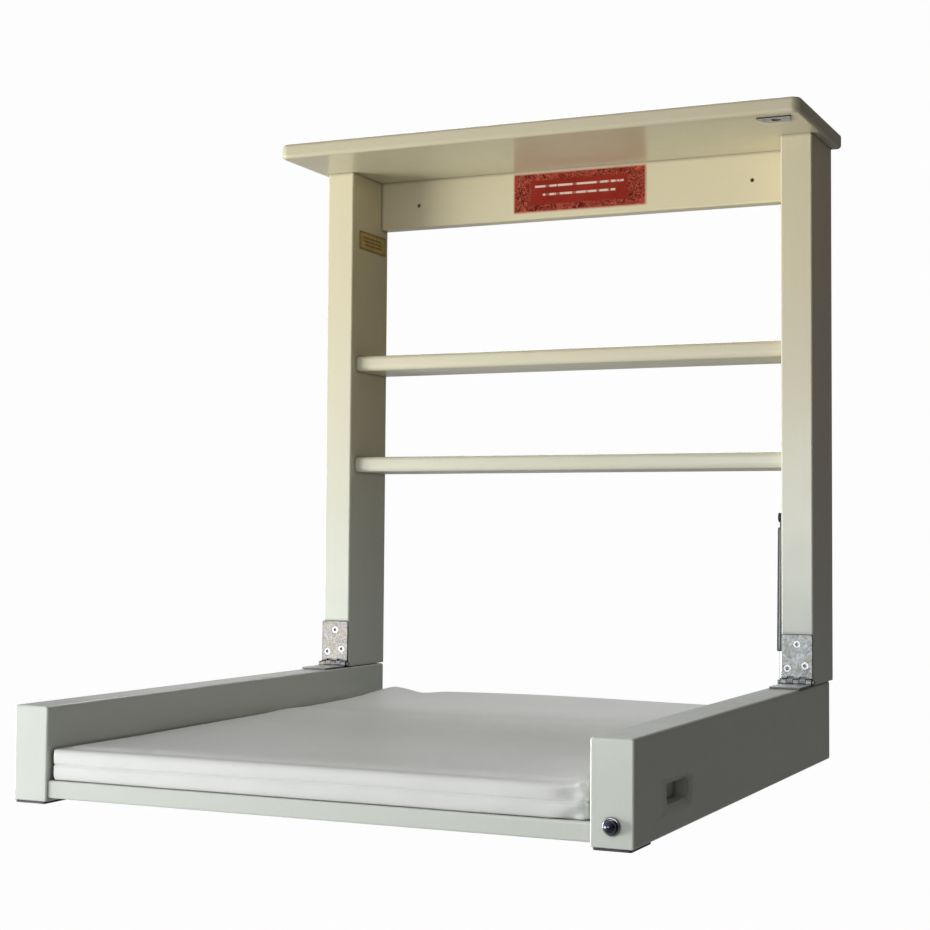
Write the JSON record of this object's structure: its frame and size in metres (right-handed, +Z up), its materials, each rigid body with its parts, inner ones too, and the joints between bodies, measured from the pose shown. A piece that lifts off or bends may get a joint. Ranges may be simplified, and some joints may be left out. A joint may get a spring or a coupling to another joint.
{
  "type": "changing table",
  "caption": "Wall-hung fold-down changing table: shelved wooden frame, hinged tray with raised side arms and vinyl pad, gas strut and spring catch.",
  "frame": {"origin": "on the wall plane, midway between the two wall screws in the top rail", "axes": "+X along the wall to the viewer's right, +Y into the wall, +Z up"},
  "size_m": [0.726, 0.8166, 0.827],
  "materials": {
    "painted_wood": "semi-gloss warm white paint over wood",
    "dowel_wood": "raw beech",
    "pad_vinyl": "white vinyl over foam",
    "zinc_plate": "zinc plated, mottled",
    "hinge_pin_steel": "turned, bright",
    "bright_screws": "bright zinc",
    "strike_zinc": "zinc plated",
    "label_red": "printed sticker, laminated",
    "type_plate_tan": "printed sticker",
    "bracket_zinc": "zinc plated",
    "stud_steel": "turned",
    "glide_plastic": "hard plastic",
    "catch_chrome": "dark chrome",
    "spring_steel": "drawn wire",
    "strut_black": "black enamel",
    "gland_plastic": "moulded",
    "socket_plastic": "moulded nylon",
    "rod_chrome": "polished"
  },
  "bodies": {
    "frame": {"left_post": "painted_wood", "right_post": "painted_wood", "top_rail": "painted_wood", "top_shelf": "painted_wood", "upper_shelf_board": "painted_wood", "lower_shelf_board": "painted_wood", "frame_dowels": "dowel_wood", "left_hinge_upper_leaf": "zinc_plate", "left_hinge_upper_screws": "bright_screws", "left_hinge_pin": "hinge_pin_steel", "right_hinge_upper_leaf": "zinc_plate", "right_hinge_upper_screws": "bright_screws", "right_hinge_pin": "hinge_pin_steel", "strike_plate": "strike_zinc", "strike_screws": "bright_screws", "warning_label": "label_red", "type_plate": "type_plate_tan", "strut_top_bracket": "bracket_zinc", "strut_top_bracket_screws": "bright_screws", "strut_top_stud": "stud_steel"},
    "tray": {"left_arm": "painted_wood", "right_arm": "painted_wood", "tray_board": "painted_wood", "pad": "pad_vinyl", "tray_dowels": "dowel_wood", "left_arm_glide": "glide_plastic", "right_arm_glide": "glide_plastic", "left_hinge_lower_leaf": "zinc_plate", "left_hinge_lower_screws": "bright_screws", "right_hinge_lower_leaf": "zinc_plate", "right_hinge_lower_screws": "bright_screws", "catch_housing": "catch_chrome", "strut_foot_bracket": "bracket_zinc", "strut_foot_bracket_screws": "bright_screws"},
    "catch": {"catch_plunger": "catch_chrome", "catch_spring": "spring_steel"},
    "strut_cylinder": {"strut_tube": "strut_black", "strut_gland": "gland_plastic", "strut_top_socket": "socket_plastic"},
    "strut_plunger": {"strut_rod": "rod_chrome", "strut_piston": "gland_plastic", "strut_foot_socket": "socket_plastic", "strut_foot_stud": "stud_steel"}
  },
  "joints": [
    {"name": "tray_fold", "type": "hinge", "parent": "frame", "child": "tray", "pos_m": [0, -0.1165, -0.6625], "axis": [-1, 0, 0], "range_deg": [0, 90]},
    {"name": "catch_press", "type": "slide", "parent": "tray", "child": "catch", "axis": [0, 1, 0], "range_m": [0, 0.003], "stiffness_N_per_m": 2500, "springref_m": -0.004},
    {"name": "strut_swing", "type": "hinge", "parent": "frame", "child": "strut_cylinder", "pos_m": [0.297, -0.049, -0.454], "axis": [-1, 0, 0], "range_deg": [0, 15.78]},
    {"name": "strut_travel", "type": "slide", "parent": "strut_cylinder", "child": "strut_plunger", "axis": [0, -0.0352, -0.9994], "range_m": [0, 0.05433]}
  ],
  "couplings": [
    {"joint": "strut_swing", "follows": "tray_fold", "ratio": 0.17525},
    {"joint": "strut_travel", "follows": "tray_fold", "m_per_rad": 0.034581}
  ]
}
